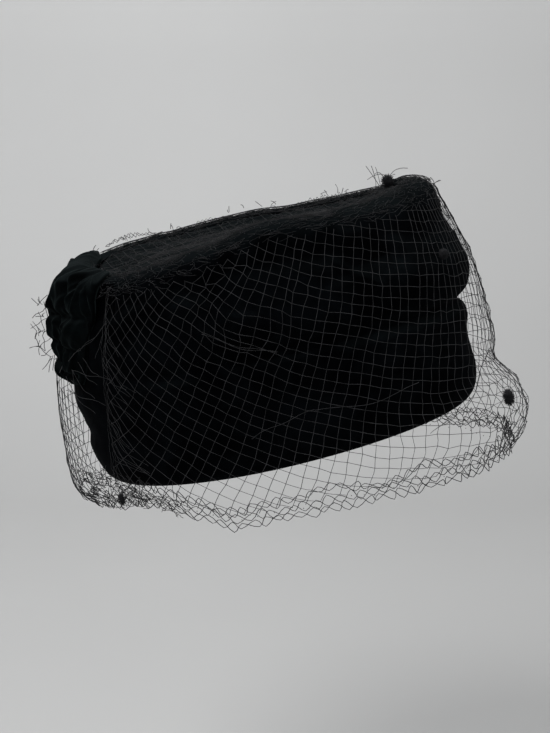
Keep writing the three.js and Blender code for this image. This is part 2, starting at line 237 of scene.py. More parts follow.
def past_back(angle):
    """Millimetres from the back's centre to the wearer's right, along the wall."""
    return turn(180, angle) * PER_DEGREE


def bell(x, half):
    return np.exp(-((x / half) ** 2))


def ridges(turns, sharp):
    """Rounded ridges with narrow grooves between them, one for each half turn."""
    return 1 - np.abs(np.sin(turns)) ** sharp


def wander(run, y, z):
    """Smooth noise along a run of numbers."""
    return np.array([noise.noise(Vector((x, y, z))) for x in run])


def unit(vectors):
    return vectors / np.maximum(np.linalg.norm(vectors, axis=-1, keepdims=True), 1e-9)


def out_from_oval(angle, out):
    c, s = np.cos(np.radians(angle)), np.sin(np.radians(angle))
    width = HALF_WIDTH * (1 - EGG * c)
    nx, ny = c / HALF_LENGTH, s / width
    n = np.hypot(nx, ny)
    return HALF_LENGTH * c + out * nx / n, width * s + out * ny / n


def oval(angle, out, z):
    """Points that stand out from the opening's oval, leaned back, in metres."""
    return leaned(*out_from_oval(angle, out), z)


def lift_at(table, angle):
    """A table's lift at each angle, easing from one of its rows to the next."""
    a = turn(0.0, np.asarray(angle, float))
    total = np.zeros_like(a)
    for (a0, l0), (a1, l1) in zip(table, table[1:]):
        inside = (a >= a0) & (a < a1)
        total = np.where(inside, l0 + (l1 - l0) * smooth((a - a0) / (a1 - a0)), total)
    return total


def rows_at(rows, angle):
    """The rows' (out, height) at each angle: an array of angles by rows by two."""
    angle = np.asarray(angle, float)
    c = np.cos(np.radians(angle))[..., None, None]
    end = np.where(c > 0, rows[:, 0], rows[:, 2])
    at = rows[:, 1] * (1 - c * c) + end * c * c
    lift = lift_at(CROWN_SAG, angle)[..., None] * smooth((at[..., 1] - 62) / 46)
    return np.stack([at[..., 0], at[..., 1] + lift], -1)


def folds(table, angle, z):
    total = np.zeros(np.broadcast(angle, z).shape)
    for a0, z0, a1, z1, half, rise in table:
        share = turn(a0, angle) / (a1 - a0)
        window = smooth(share * 5 + 0.5) * smooth((1 - share) * 5 + 0.5)
        total = total + rise * window * bell(z - (z0 + (z1 - z0) * share), half)
    return total


def spline(points, steps):
    """Catmull-Rom through the rows (axis -2), with the given steps between rows."""
    first = 2 * points[..., :1, :] - points[..., 1:2, :]
    last = 2 * points[..., -1:, :] - points[..., -2:-1, :]
    p = np.concatenate([first, points, last], -2)
    t = np.arange(steps)[:, None] / steps
    parts = []
    for i in range(points.shape[-2] - 1):
        a, b, c, d = (p[..., i + k, None, :] for k in range(4))
        parts.append(0.5 * (2 * b + (c - a) * t + (2 * a - 5 * b + 4 * c - d) * t**2
                            + (3 * b - a - 3 * c + d) * t**3))
    parts.append(points[..., -1:, :])
    return np.concatenate(parts, -2)


def offset(profile, distance):
    """Profiles (axis -2) moved to the left of their run."""
    before = np.concatenate([profile[..., :1, :], profile[..., :-1, :]], -2)
    after = np.concatenate([profile[..., 1:, :], profile[..., -1:, :]], -2)
    run = unit(after - before)
    return profile + np.stack([-run[..., 1], run[..., 0]], -1) * np.asarray(distance)[..., None]


def leaned(x, y, z):
    """Points of the hat's own frame, leaned back, in metres."""
    cl, sl = math.cos(LEAN_BACK), math.sin(LEAN_BACK)
    return np.stack([x * cl - z * sl, y + 0 * x, x * sl + z * cl], -1) / 1000.0


def ripple(angle, z, scale, seed):
    """Smooth noise over the hat's wall, the same on both sides of the turn."""
    flat_a, flat_z = np.broadcast_arrays(np.asarray(angle, float), np.asarray(z, float))
    out = np.empty(flat_a.size)
    for i, (a, h) in enumerate(zip(flat_a.ravel(), flat_z.ravel())):
        r = math.radians(a)
        out[i] = noise.noise(Vector((math.cos(r) * 100 / scale + seed, math.sin(r) * 100 / scale, h / scale)))
    return out.reshape(flat_a.shape)


def new_object(name, data):
    made = bpy.data.objects.new(name, data)
    bpy.context.scene.collection.objects.link(made)
    return made


def mesh_object(name, points, faces, material):
    """A smooth mesh of faces that all have the same number of corners."""
    mesh = bpy.data.meshes.new(name)
    points = np.asarray(points, float).reshape(-1, 3)
    faces = np.asarray(faces)
    mesh.vertices.add(len(points))
    mesh.vertices.foreach_set("co", points.ravel())
    corners = faces.shape[1]
    mesh.loops.add(faces.size)
    mesh.loops.foreach_set("vertex_index", faces.ravel())
    mesh.polygons.add(len(faces))
    mesh.polygons.foreach_set("loop_start", np.arange(len(faces)) * corners)
    mesh.polygons.foreach_set("loop_total", np.full(len(faces), corners))
    mesh.update(calc_edges=True)
    mesh.validate()
    mesh.polygons.foreach_set("use_smooth", np.ones(len(faces), bool))
    mesh.materials.append(material)
    return new_object(name, mesh)


def grid_faces(columns, rows, close_columns, close_rows, start=0):
    i = np.arange(columns if close_columns else columns - 1)
    k = np.arange(rows if close_rows else rows - 1)
    i, k = (x.ravel() for x in np.meshgrid(i, k, indexing="ij"))
    at = lambda a, b: start + (a % columns) * rows + (b % rows)
    return np.stack([at(i, k), at(i + 1, k), at(i + 1, k + 1), at(i, k + 1)], -1)


# Materials.


def new_material(name):
    material = bpy.data.materials.new(name)
    material.use_nodes = True
    nodes, links = material.node_tree.nodes, material.node_tree.links
    return material, nodes, links, nodes["Principled BSDF"]


def add_node(nodes, kind, **values):
    """A shader node with its inputs set. An underscore stands for a space in an input's name."""
    node = nodes.new("ShaderNode" + kind)
    for name, value in values.items():
        node.inputs[name.replace("_", " ")].default_value = value
    return node


def colour_ramp(nodes, low, dark, high, light):
    ramp = add_node(nodes, "ValToRGB")
    for element, position, colour in zip(ramp.color_ramp.elements, (low, high), (dark, light)):
        element.position, element.color = position, (*colour, 1)
    return ramp


def velvet_material(name, dark, light, lit, scale, sheen, sheen_tint):
    """Pile velvet: nearly black along the pile, lighter in patches where it is pushed over, with a cool sheen
    and a painted highlight (the lit colour) where it faces up.
    """
    material, nodes, links, shader = new_material(name)
    place = add_node(nodes, "TexCoord")
    patches = add_node(nodes, "TexNoise", Scale=scale, Detail=5, Roughness=0.62, Distortion=0.5)
    colours = colour_ramp(nodes, 0.4, dark, 0.72, light)
    pile = add_node(nodes, "TexNoise", Scale=1500, Detail=2)
    bump = add_node(nodes, "Bump", Strength=0.35, Distance=0.0004)
    links.new(place.outputs["Object"], patches.inputs["Vector"])
    links.new(place.outputs["Object"], pile.inputs["Vector"])
    links.new(patches.outputs["Fac"], colours.inputs["Fac"])
    # Painted highlight: the lit colour is mixed into the base colour where the surface faces up, standing in
    # for the light from above.
    facing, parts = add_node(nodes, "NewGeometry"), add_node(nodes, "SeparateXYZ")
    upward = add_node(nodes, "MapRange", From_Min=0.3, From_Max=1.0)
    painted_highlight_share, painted_highlight_mix = add_node(nodes, "Math"), add_node(nodes, "Mix")
    painted_highlight_share.operation, painted_highlight_mix.data_type = "MULTIPLY", "RGBA"
    painted_highlight_mix.inputs["B"].default_value = (*lit, 1)
    links.new(facing.outputs["Normal"], parts.inputs["Vector"])
    links.new(parts.outputs["Z"], upward.inputs["Value"])
    links.new(upward.outputs["Result"], painted_highlight_share.inputs[0])
    links.new(patches.outputs["Fac"], painted_highlight_share.inputs[1])
    links.new(painted_highlight_share.outputs["Value"], painted_highlight_mix.inputs["Factor"])
    links.new(colours.outputs["Color"], painted_highlight_mix.inputs["A"])
    links.new(painted_highlight_mix.outputs["Result"], shader.inputs["Base Color"])
    links.new(pile.outputs["Fac"], bump.inputs["Height"])
    links.new(bump.outputs["Normal"], shader.inputs["Normal"])
    shader.inputs["Roughness"].default_value = 0.92
    shader.inputs["Specular IOR Level"].default_value = 0.015
    shader.inputs["Sheen Weight"].default_value = sheen
    shader.inputs["Sheen Roughness"].default_value = 0.42
    shader.inputs["Sheen Tint"].default_value = (*sheen_tint, 1)
    return material


def thread_material(name, dark, light, scale, roughness):
    material, nodes, links, shader = new_material(name)
    place = add_node(nodes, "TexCoord")
    twist = add_node(nodes, "TexNoise", Scale=scale, Detail=3)
    colours = colour_ramp(nodes, 0.35, dark, 0.68, light)
    links.new(place.outputs["Object"], twist.inputs["Vector"])
    links.new(twist.outputs["Fac"], colours.inputs["Fac"])
    links.new(colours.outputs["Color"], shader.inputs["Base Color"])
    shader.inputs["Roughness"].default_value = roughness
    shader.inputs["Specular IOR Level"].default_value = 0.3
    return material


# Each velvet's third colour is its painted highlight, mixed in where the surface faces up.
VELVET_SIDE = velvet_material("velvet_side", (0.00003, 0.00006, 0.0003), (0.0013, 0.0019, 0.0026),
                              (0.006, 0.0085, 0.009), 40, 0.004, (0.5, 0.62, 0.72))
# The crown's top: the same black velvet painted lighter, standing in for the light it catches from above.
VELVET_TOP_PAINTED_LIGHT = velvet_material("velvet_top_painted_light", (0.0003, 0.0006, 0.0008), (0.0022, 0.0031, 0.0034),
                             (0.0034, 0.0052, 0.0056), 70, 0.025, (0.55, 0.7, 0.76))
# The knot: the same velvet with a brighter painted highlight on its up-facing folds.
VELVET_KNOT = velvet_material("velvet_knot", (0.00003, 0.00015, 0.00025), (0.0014, 0.0024, 0.0026),
                              (0.0078, 0.0104, 0.0108), 75, 0.032, (0.5, 0.68, 0.7))
NET_THREAD = thread_material("net_thread", (0.001, 0.001, 0.0015), (0.0205, 0.0205, 0.0225), 200, 0.65)
CHENILLE = thread_material("chenille", (0.004, 0.004, 0.005), (0.014, 0.014, 0.016), 900, 0.9)


# The velvet band, tip and knot.


def band_profiles(angle, steps):
    """The band's outer surface with all its folds: angles by points by (out, height)."""
    fine = spline(rows_at(BAND_ROWS, angle), steps)
    out, z = fine[..., 0], fine[..., 1]
    a = np.asarray(angle, float)[..., None]
    wall = smooth((z - 4) / 8) * smooth((out - 5) / 5)
    out = out + (folds(BROAD_FOLDS, a, z) + 0.9 * folds(FINE_FOLDS, a, z)) * wall
    return np.stack([out, z], -1)


def make_band():
    columns, steps = 336, 6
    angle = np.arange(columns) * 360.0 / columns
    outer = band_profiles(angle, steps)
    wall = smooth((outer[..., 1] - 2) / 8) * smooth((outer[..., 0] - 5) / 5)
    outer[..., 0] += (0.9 * ripple(angle[:, None], outer[..., 1] * 1.6, 26, 3.1)
                      + 0.35 * ripple(angle[:, None], outer[..., 1] * 1.3, 9, 7.7)) * wall
    across, up = past_back(angle)[:, None] - KNOT_GATHER[0], outer[..., 1] - KNOT_GATHER[1]
    away = np.hypot(across, up)
    drawn = 1.5 * np.cos(6.5 * np.arctan2(up, across) + 0.12 * away) * bell(away - 15, 20)
    outer = offset(outer, -drawn * wall * smooth((across + 14) / 14))
    recess = np.exp(-(((across - 13) / 9) ** 4) - (((up + 13) / 12) ** 4))
    outer[..., 0] -= 3.6 * recess * (1 + 0.25 * np.sin(across * 1.1)) * wall
    inner = offset(outer, CLOTH)[:, ::3][:, ::-1]
    loop = np.concatenate([outer, inner], 1)
    points = oval(angle[:, None], loop[..., 0], loop[..., 1])
    faces = grid_faces(columns, loop.shape[1], True, True)
    return mesh_object("band_drape", points, faces[:, ::-1], VELVET_SIDE)


def make_tip():
    """The tip is tucked under the band's edge and dishes towards the middle, with slack ripples."""
    columns, rings = 288, 30
    angle = np.arange(columns) * 360.0 / columns
    edge = rows_at(BAND_ROWS, angle)[:, -2:]
    start = edge[:, 1] - unit(edge[:, 1] - edge[:, 0]) * TIP_TUCKED
    share = np.linspace(0, 0.9996, rings) ** 1.25
    middle_z = start[:, 1].mean()
    level = smooth(share * 2)
    z = start[:, 1][:, None] * (1 - level) + middle_z * level - np.interp(share, *TIP_DIP)
    x0, y0 = out_from_oval(angle, start[:, 0])
    x, y = x0[:, None] * (1 - share), y0[:, None] * (1 - share)
    bumps = np.empty(x.shape)
    for i in range(columns):
        for k in range(rings):
            bumps[i, k] = noise.noise(Vector((x[i, k] / 30, y[i, k] / 22, 1.7))) * 1.4 \
                + noise.noise(Vector((x[i, k] / 10, y[i, k] / 8, 5.2))) * 0.3
    to_x, to_y = x - HALF_LENGTH * math.cos(math.radians(-150)), y - HALF_WIDTH * math.sin(math.radians(-150))
    away = np.hypot(to_x, to_y)
    fan = np.arctan2(to_y, to_x)
    drawn = 1.7 * np.cos(9 * fan) + 1.0 * np.cos(21 * fan + away / 9)
    z = z + bumps * smooth(share * 7) + drawn * np.exp(-away / 38) * smooth(away / 9) * smooth(share * 14)
    top, under = leaned(x, y, z), leaned(x, y, z - CLOTH)
    loop = np.concatenate([top, under[:, ::-1]], 1)
    faces = grid_faces(columns, 2 * rings, True, True)
    made = mesh_object("tip_cloth", loop, faces[:, ::-1], VELVET_TOP_PAINTED_LIGHT)
    order = np.argsort(np.arctan2(y0, x0))
    rays, reach, heights = np.arctan2(y0, x0)[order], np.hypot(x0, y0)[order], z[order]

    def height_at(px, py):
        """The tip's height at points of the hat's own frame, and how far in from its edge they are."""
        ray = np.arctan2(py, px)
        inward = 1 - np.hypot(px, py) / np.interp(ray, rays, reach, period=2 * math.pi)
        column = np.interp(ray, rays, np.arange(columns), period=2 * math.pi).round().astype(int) % columns
        found = [np.interp(t, share, heights[i]) for i, t in zip(column, np.clip(inward, 0, 0.98))]
        return np.array(found), inward

    return made, height_at


def make_knot():
    columns, steps = 190, 14
    u = np.linspace(-1, 1, columns)
    index = [ROW[row[0]] for row in KNOT_ROWS]
    puff = np.array([row[1] for row in KNOT_ROWS])
    rows = []
    for k, i in enumerate(index):
        far, near = -KNOT_ROWS[k][2], KNOT_ROWS[k][3]
        angle = 180 + (far + near) / 2 + u * (near - far) / 2
        profile = rows_at(BAND_ROWS, angle)
        over = offset(profile, -np.ones(profile.shape[:-1]))
        rows.append(np.concatenate([angle[:, None], profile[:, i], over[:, i] - profile[:, i]], 1))
    wall = spline(np.stack(rows, 1), steps)
    puffs = spline(np.stack([puff, puff], -1), steps)[:, 0]
    ends = np.clip(np.minimum(np.arange(len(puffs)), np.arange(len(puffs))[::-1]) / steps, 0, 1)
    opened = np.power(np.clip(1 - np.abs(u) ** 3, 0, 1), 0.5)[:, None]
    angle, out, z = wall[..., 0], wall[..., 1], wall[..., 2]
    across = past_back(angle)
    right, up = across - KNOT_GATHER[0], z - KNOT_GATHER[1]
    to_gather = np.hypot(right, up)
    to_tail = np.hypot(across - KNOT_TAIL[0], z - KNOT_TAIL[1])
    stray = 0.22 * ripple(angle * 1.5, z, 20, 2.4)
    fan = np.arctan2(up, right) + stray
    arcs = fan - np.arctan2(z - KNOT_TAIL[1], across - KNOT_TAIL[0])
    broad = ridges(arcs * 2.3 + 0.5, 1.5)
    narrow = ridges(fan * 7 + 0.6 + 0.03 * to_gather, 1.1)
    fine = ridges(fan * 15 + 1.9, 1.1)
    pleat = (3.8 * broad - 2.4) * smooth(to_gather / 13)
    pleat = pleat + (2.7 * narrow - 1.5) * smooth(to_gather / 9) * bell(to_gather, 30)
    pleat = pleat + (1.1 * fine - 0.5) * smooth(to_gather / 12) * bell(to_gather, 24)
    to_far = np.hypot(across + 50, z - 106)
    far_fan = ridges(5 * np.arctan2(z - 106, across + 50) + stray * 3 + 0.8, 1.1)
    pleat = pleat + (3.0 * far_fan - 1.7) * smooth(to_far / 10) * bell(to_far, 34)
    tucks = ridges(arcs * 7.4 + 1.1, 1.2)
    pleat = pleat + (1.5 * tucks - 0.7) * smooth(to_tail / 9) * smooth((to_gather - 12) / 14)
    for across0, z0, across1, z1, half, rise in KNOT_CREASES:
        run = np.array([across1 - across0, z1 - z0])
        long = float(run @ run)
        share = np.clip(((across - across0) * run[0] + (z - z0) * run[1]) / long, 0, 1)
        aside = np.hypot(across - across0 - share * run[0], z - z0 - share * run[1])
        pleat = pleat + rise * bell(aside, half)
    pleat = pleat + 0.7 * ripple(angle * 2.2, z, 8, 12.3) - 3.2 * bell(to_gather, 6)
    inside = (opened * smooth(ends)[None]) ** 0.6
    height = CLEARANCE + 0.2 + puffs[None] * opened + pleat * inside
    height = np.maximum(height, CLEARANCE + 0.1)
    raised = height + VELVET * 0.9, height
    both = [oval(angle, out + wall[..., 3] * h, z + wall[..., 4] * h) for h in raised]
    points = np.concatenate([face.reshape(-1, 3) for face in both])
    count = wall.shape[1]
    under = columns * count
    number = np.arange(under).reshape(columns, count)
    ring = np.concatenate([number[:, 0], number[-1, 1:], number[-2::-1, -1], number[0, -2:0:-1]])
    after = np.roll(ring, -1)
    faces = np.concatenate([
        grid_faces(columns, count, False, False),
        grid_faces(columns, count, False, False, under)[:, ::-1],
        np.stack([after, ring, ring + under, after + under], -1),
    ])
    return mesh_object("knot_drape", points, faces[:, ::-1], VELVET_KNOT)


# The net.


class Net:
    """The veil's surface: angle and length up from the rim give a point."""

    def __init__(self):
        self.angles = np.arange(0, 361, 2.0)
        rows = rows_at(VEIL_ROWS, self.angles)
        share = np.clip((12 - rows[..., 1]) / (12 - rows[:, :1, 1]), 0, 1)
        rows[..., 0] -= lift_at(HEM_RISE, self.angles)[:, None] * share
        rows[..., 1] += lift_at(HEM_RISE, self.angles)[:, None] * share
        hung = spline(rows, 8)
        band = band_profiles(self.angles, 6)
        corner = ROW["top_corner"] * 6
        outer, rolled = band[:, ROW["rim_outer"] * 6:corner], band[:, corner + 4:]
        for i in range(len(self.angles)):
            near = hung[i, :, 1] > 2
            least = np.interp(hung[i, :, 1], outer[i, :, 1], outer[i, :, 0]) + 0.8
            hung[i, near, 0] = np.maximum(hung[i, near, 0], least[near])
        profile = np.concatenate([hung, offset(rolled, np.full(rolled.shape[:-1], -1.0))], 1)
        step = np.linalg.norm(np.diff(profile, axis=1), axis=-1)
        length = np.concatenate([np.zeros((len(self.angles), 1)), np.cumsum(step, 1)], 1)
        rim = length[:, 8 * VEIL_RIM]
        self.low, self.high = -rim, length[:, -1] - rim
        top = lift_at(LATTICE_TOP, self.angles)
        rising = np.maximum.accumulate(profile[..., 1], 1) + np.arange(profile.shape[1]) * 1e-6
        from_rim = length - rim[:, None]
        self.top = np.array([np.interp(t, z, along) for t, z, along in zip(top, rising, from_rim)])
        self.top = np.where((self.angles > 12) & (self.angles < 165), self.high - 0.6, self.top)
        self.lengths = np.linspace(-90, 190, 281)
        self.table = np.empty((len(self.angles), len(self.lengths), 2))
        for i in range(len(self.angles)):
            for k in range(2):
                self.table[i, :, k] = np.interp(self.lengths, from_rim[i], profile[i, :, k])

    def edge(self, angle, which):
        return np.interp(np.asarray(angle) % 360, self.angles, which)

    def at(self, angle, length, lift=0.0, loose=1.0):
        """Points on the surface, and their heights."""
        a = (np.asarray(angle, float) % 360) / 2.0
        h = np.clip(np.asarray(length, float) + 90, 0, 279.99)
        i, k = np.floor(a).astype(int) % 180, np.floor(h).astype(int)
        fa, fh = (a - np.floor(a))[..., None], (h - k)[..., None]
        t = self.table
        before, after = (t[j, k] * (1 - fh) + t[j, k + 1] * fh for j in (i, i + 1))
        p = before * (1 - fa) + after * fa
        hang = smooth((6 - p[..., 1]) / 16)
        front = bell(turn(0, angle), 38)
        small = (1.2 + 1.2 * front) * ripple(angle, p[..., 1], 5, 33.0)
        puff = (1.6 * ripple(angle, p[..., 1] * 0.5, 11, 21.0) + small) * hang
        slack = (0.5 + 1.2 * front) * np.abs(ripple(angle, p[..., 1], 9, 5.0)) * (1 - hang)
        return oval(angle, p[..., 0] + lift + loose * (puff + slack), p[..., 1]), p[..., 1]

    def length_at(self, angle, z):
        i = int(round((angle % 360) / 2.0))
        rising = np.maximum.accumulate(self.table[i, :, 1])
        return float(np.interp(z, rising + np.arange(len(rising)) * 1e-6, self.lengths))


def tubes(name, lines, radius, material, sides=4):
    """One mesh of thin threads. Each line is an array of points, in metres."""
    points, faces, start = [], [], 0
    centre = np.array([0.0, 0.0, 0.05])
    turns = np.arange(sides) * 2 * math.pi / sides
    for line in lines:
        count = len(line)
        if count < 2:
            continue
        run = unit(np.gradient(line, axis=0))
        outward = line - centre
        outward = unit(outward - run * (outward * run).sum(1, keepdims=True))
        across = np.cross(run, outward)
        ring = outward[:, None] * np.cos(turns)[:, None] + across[:, None] * np.sin(turns)[:, None]
        points.append((line[:, None] + ring * radius / 1000).reshape(-1, 3))
        faces.append(grid_faces(count, sides, False, True, start))
        start += count * sides
    return mesh_object(name, np.concatenate(points), np.concatenate(faces), material)


def in_knot(angle, z):
    """Where the knot covers the net, which is tucked under it."""
    across = turn(180, angle)
    near = np.interp(z, [58, 71, 82, 92, 110, 118], [26, 30, 32, 39, 41, 42])
    far = np.interp(z, [58, 71, 82, 92, 110, 118], [12, 2, -12, -28, -32, -30])
    return (across < near - 1) & (across > far + 1) & (z > 57)


def kept_runs(points, keep):
    """The runs of a line's points that are kept."""
    edges = np.flatnonzero(np.diff(np.concatenate([[0], keep.astype(int), [0]])))
    return [points[a:b] for a, b in zip(edges[::2], edges[1::2]) if b - a > 1]


def seam_angle(z):
    return np.interp(z, *SEAM_LINE)


def round_line(net, row):
    """One of the net's rounds, from the seam to the seam: its angles, lengths and the run along it."""
    share = np.linspace(0, 1, 361)
    angle = SEAM + 360 * share
    ahead, behind = 360 * share * 1.9, 360 * (1 - share) * 1.9
    rise = 66 * np.exp(-ahead / 59)
    spread = np.sqrt(1 + (rise / 59) ** 2)
    drawn = 8 - 100 * NET_TILT * np.cos(np.radians(angle)) + rise - 26 * np.exp(-behind / 45)
    drawn = drawn + (row * MESH_PITCH + 45) * spread - 45
    middle = net.length_at(GATHER[0], GATHER[1])
    bunch = 1 - 0.3 * np.exp(-ahead / 7) - 0.3 * np.exp(-behind / 7)
    length = middle + (drawn - middle) * bunch
    lean = (seam_angle(length + 10) - SEAM) * (np.exp(-ahead / 30) + np.exp(-behind / 30))
    angle = angle + lean
    points, _ = net.at(angle, length, 0.0, 0.0)
    run = np.concatenate([[0], np.cumsum(np.linalg.norm(np.diff(points, axis=0), axis=1))]) * 1000
    return angle, length, run


def crossings(net):
    """The net's crossings, rows by columns of angle and length, and not numbers past an end of a row."""
    front, sides = 35, 42
    rounds = [round_line(net, row) for row in range(-22, 30)]
    stops = []
    for angle, length, run in rounds:
        marks = []
        for anchor in (-54.0, 54.0):
            middle = np.interp(anchor, angle, length)
            leaned = anchor - np.degrees(math.sin(math.radians(anchor)) * NET_TILT * middle / 104)
            marks.append(np.interp(leaned, angle, run))
        stops.append(np.concatenate([
            marks[0] - MESH_PITCH * np.arange(sides, 0, -1),
            marks[0] + (marks[1] - marks[0]) * np.arange(front) / front,
            marks[1] + MESH_PITCH * np.arange(sides + 8),
        ]))
    even = np.array(stops)
    squared = even.copy()
    level = 22
    for step in (1, -1):
        for row in range(level + step, len(rounds) if step > 0 else -1, step):
            below = place(net, rounds[row - step], squared[row - step, :sides])
            fine = np.linspace(0, rounds[row][2][-1] / 2, 600)
            line = place(net, rounds[row], fine)
            foot = fine[np.linalg.norm(line[None] - below[:, None], axis=-1).argmin(1)]
            kept = even[row, :sides] + squared[row - step, :sides] - even[row - step, :sides]
            drift = np.clip(kept + SQUARED * (foot - kept) - even[row, :sides], -34, 34)
            squared[row, :sides] = np.maximum.accumulate(even[row, :sides] + drift)
    grid = []
    for (angle, length, run), at_run in zip(rounds, squared):
        inside = (at_run > 0) & (at_run < run[-1])
        at = np.stack([np.interp(at_run, run, angle), np.interp(at_run, run, length)], -1)
        at[~inside] = np.nan
        grid.append(at)
    return np.array(grid)


def place(net, line, stops):
    """Points on one of the net's rounds, in millimetres."""
    angle, length, run = line
    points, _ = net.at(np.interp(stops, run, angle), np.interp(stops, run, length), 0.0, 0.0)
    return points * 1000


def slacken(grid):
    """Moves the crossings a little, most where the net is rucked on the right side."""
    moved = grid.copy()
    for r, c in np.argwhere(np.isfinite(grid[..., 0])):
        angle, length = grid[r, c]
        ruck = math.exp(-(((angle + 96) / 24) ** 2) - ((length - 66) / 26) ** 2)
        a = math.radians(angle)
        spot = Vector((math.cos(a) * 4.0, math.sin(a) * 4.0, length / 26))
        broad = noise.noise_vector(spot) * (1.3 + 4.2 * ruck)
        puffed = math.exp(-((turn(-5, angle) / 42) ** 2)) * (0.35 + 0.65 * float(smooth((4 - length) / 14)))
        crumpled = math.exp(-((turn(-114, angle) / 26) ** 4)) * float(smooth((length - 84) / 14))
        rough = 0.7 + 1.3 * ruck + 2.2 * puffed + 3.4 * crumpled
        fine = noise.noise_vector(spot * 4.7 + Vector((9, 2, 5))) * rough
        moved[r, c] += ((broad.x + fine.x) * 0.58, broad.y + fine.y)
    return moved


def threads(net, grid):
    """The net's threads along the grid's rows, cut at the crown's ragged edge and at the hem."""
    lines = []
    for n, line in enumerate(grid):
        line = line[np.isfinite(line[:, 0])]
        if len(line) < 3:
            continue
        fine = np.empty((2 * len(line) - 1, 2))
        fine[::2] = line
        fine[1::2] = (line[1:] + line[:-1]) / 2
        angle, length = fine[:, 0], fine[:, 1]
        points, z = net.at(angle, length)
        ragged = 3.0 * wander(angle * 0.31, n * 0.7, 4.0)
        keep = (length > net.edge(angle, net.low) + 9) & (length < net.edge(angle, net.top) + ragged)
        lines += kept_runs(points, keep & ~in_knot(angle, z))
    return lines


def hem_point(net, angle, above, lift):
    """Points of the hem, upright but for the back: angle, height over the lower edge and how far out."""
    low = net.edge(angle, net.low)
    hung, z = net.at(angle, low + 11, lift, 0.6)
    _, z0 = net.at(angle, low, 0.0, 0.0)
    raised = 5 * bell(turn(0, angle), 30)
    up = np.array([-math.sin(LEAN_BACK), 0, math.cos(LEAN_BACK)]) / 1000
    upright = hung + up * (z0 - z + above + raised)[..., None]
    share = smooth((np.abs(turn(180, angle)) - 10) / 26)[..., None]
    return upright * share + net.at(angle, low + above, lift, 0.6)[0] * (1 - share)


def hem_threads(net):
    """The hem: rows of diamonds, one over the other, along the veil's lower edge."""
    lines = []
    half = np.linspace(0, 360, 2 * HEM_CELLS + 1)
    for layer, above in enumerate((0.0, 3.8, 8.4)):
        for phase in (0, 1):
            up = (np.arange(len(half)) + phase) % 2
            knots = []
            for a, high in zip(half + layer * 1.7, up):
                push = noise.noise_vector(Vector((a * 0.33, layer * 3.0 + high * 0.7, 2.0)))
                slow = noise.noise(Vector((a * 0.07, layer * 4.0, 9.0)))
                rise = above * (1 + 0.4 * slow) + 4.3 * high + 2.4 * push.y + 1.6 * slow
                knots.append((a + 1.8 * push.x, rise, 1.8 * push.z - 0.6 * layer))
            path = spline(np.array(knots), 3)
            lines.append(hem_point(net, path[:, 0], path[:, 1], path[:, 2]))
    return lines


def tangle_threads(net):
    """The crumpled net about the tie and in the fold behind it."""
    random = np.random.default_rng(5)
    lines = []
    for n in range(120):
        fold = n % 3 == 0
        along = random.uniform(0, 1)
        if fold:
            start = -138 - 26 * along, 4 + 26 * along + random.normal(0, 1.6), random.uniform(-3, 1)
        else:
            start = -138.5 + random.normal(0, 1) * 9.0, random.uniform(0.5, 9.0), random.uniform(-1.5, 2.5)
        heading = random.normal(0, 1, 3)
        path = [np.array(start)]
        for _ in range(7):
            heading = heading * 0.75 + random.normal(0, 0.8, 3)
            path.append(path[-1] + unit(heading) * 1.5 * (0.55, 1, 0.6))
        path = spline(np.array(path), 2)
        lines.append(hem_point(net, path[:, 0], np.clip(path[:, 1], 0.0, 34), path[:, 2]))
    return lines


def ruck_threads(net, tip_height):
    """The crumpled net over the crown's edge and its top, as short bent strands."""
    random = np.random.default_rng(8)
    lines = []
    for _ in range(2000):
        angle = random.uniform(-139, 166)
        top, high = float(net.edge(angle, net.top)), float(net.edge(angle, net.high))
        top = min(top, high - 13) if angle > 12 else top
        length = top - 0.5 + (high + 1 - top) * random.uniform(0, 1)
        loose = 0.7 if angle < -98 else 0.45
        heading, path = random.choice([-1, 1]) * np.array([1.0, 0.0]) + random.normal(0, 0.35 * loose, 2), []
        lift = random.uniform(0.1, 0.9)
        for _ in range(6):
            heading = unit(heading) + random.normal(0, 0.4 * loose, 2)
            go = unit(heading) * random.uniform(0.9, 1.9)
            angle, length = angle + go[0] * 0.57, length + go[1] * 0.8
            path.append((angle, min(length, high - 0.3), lift + random.normal(0, 0.2)))
        path = spline(np.array(path), 2)
        points, z = net.at(path[:, 0], path[:, 1], path[:, 2], 0.4)
        if not in_knot(path[:, 0], z).any():
            lines.append(points)
    for _ in range(900):
        around, share = random.uniform(0, 2 * math.pi), random.uniform(0.0, 1) ** 0.5
        x, y = 93 * share * math.cos(around), 79 * share * math.sin(around)
        heading, path = random.choice([-1, 1]) * np.array([1.0, 0.2]) + random.normal(0, 0.5, 2), []
        for _ in range(6):
            heading = unit(heading) + random.normal(0, 0.4, 2)
            go = unit(heading) * random.uniform(1.0, 2.2)
            x, y = x + go[0], y + go[1]
            path.append((x, y))
        x, y = np.array(path).T
        z, inward = tip_height(x, y)
        if inward.min() > 0.0:
            arc = np.sin(np.linspace(0, math.pi, 6)) * random.uniform(0, 1.6)
            lines.append(leaned(*spline(np.stack([x, y, z + 0.4 + arc], -1), 2).T))
    return lines


def crown_threads(tip_height):
    """The net over the crown: a flat lattice on the dished tip, its ends cut raggedly at the edge."""
    lines = []
    for way in (0.32, 0.32 + math.pi / 2):
        c, s = math.cos(way), math.sin(way)
        for n in np.arange(-17, 18):
            along = np.arange(-102, 103, 3.0)
            across = n * MESH_PITCH + 1.6 * wander(along / 17, n * 0.8, way)
            x, y = along * c - across * s, along * s + across * c
            z, share = tip_height(x, y)
            ragged = 0.03 * wander(along / 9, n * 0.9, 3 + way)
            lifted = z + 0.45 + 0.5 * np.abs(ripple(along, across, 16, 8.0))
            lines += kept_runs(leaned(x, y, lifted), share > 0.015 + ragged)
    return lines


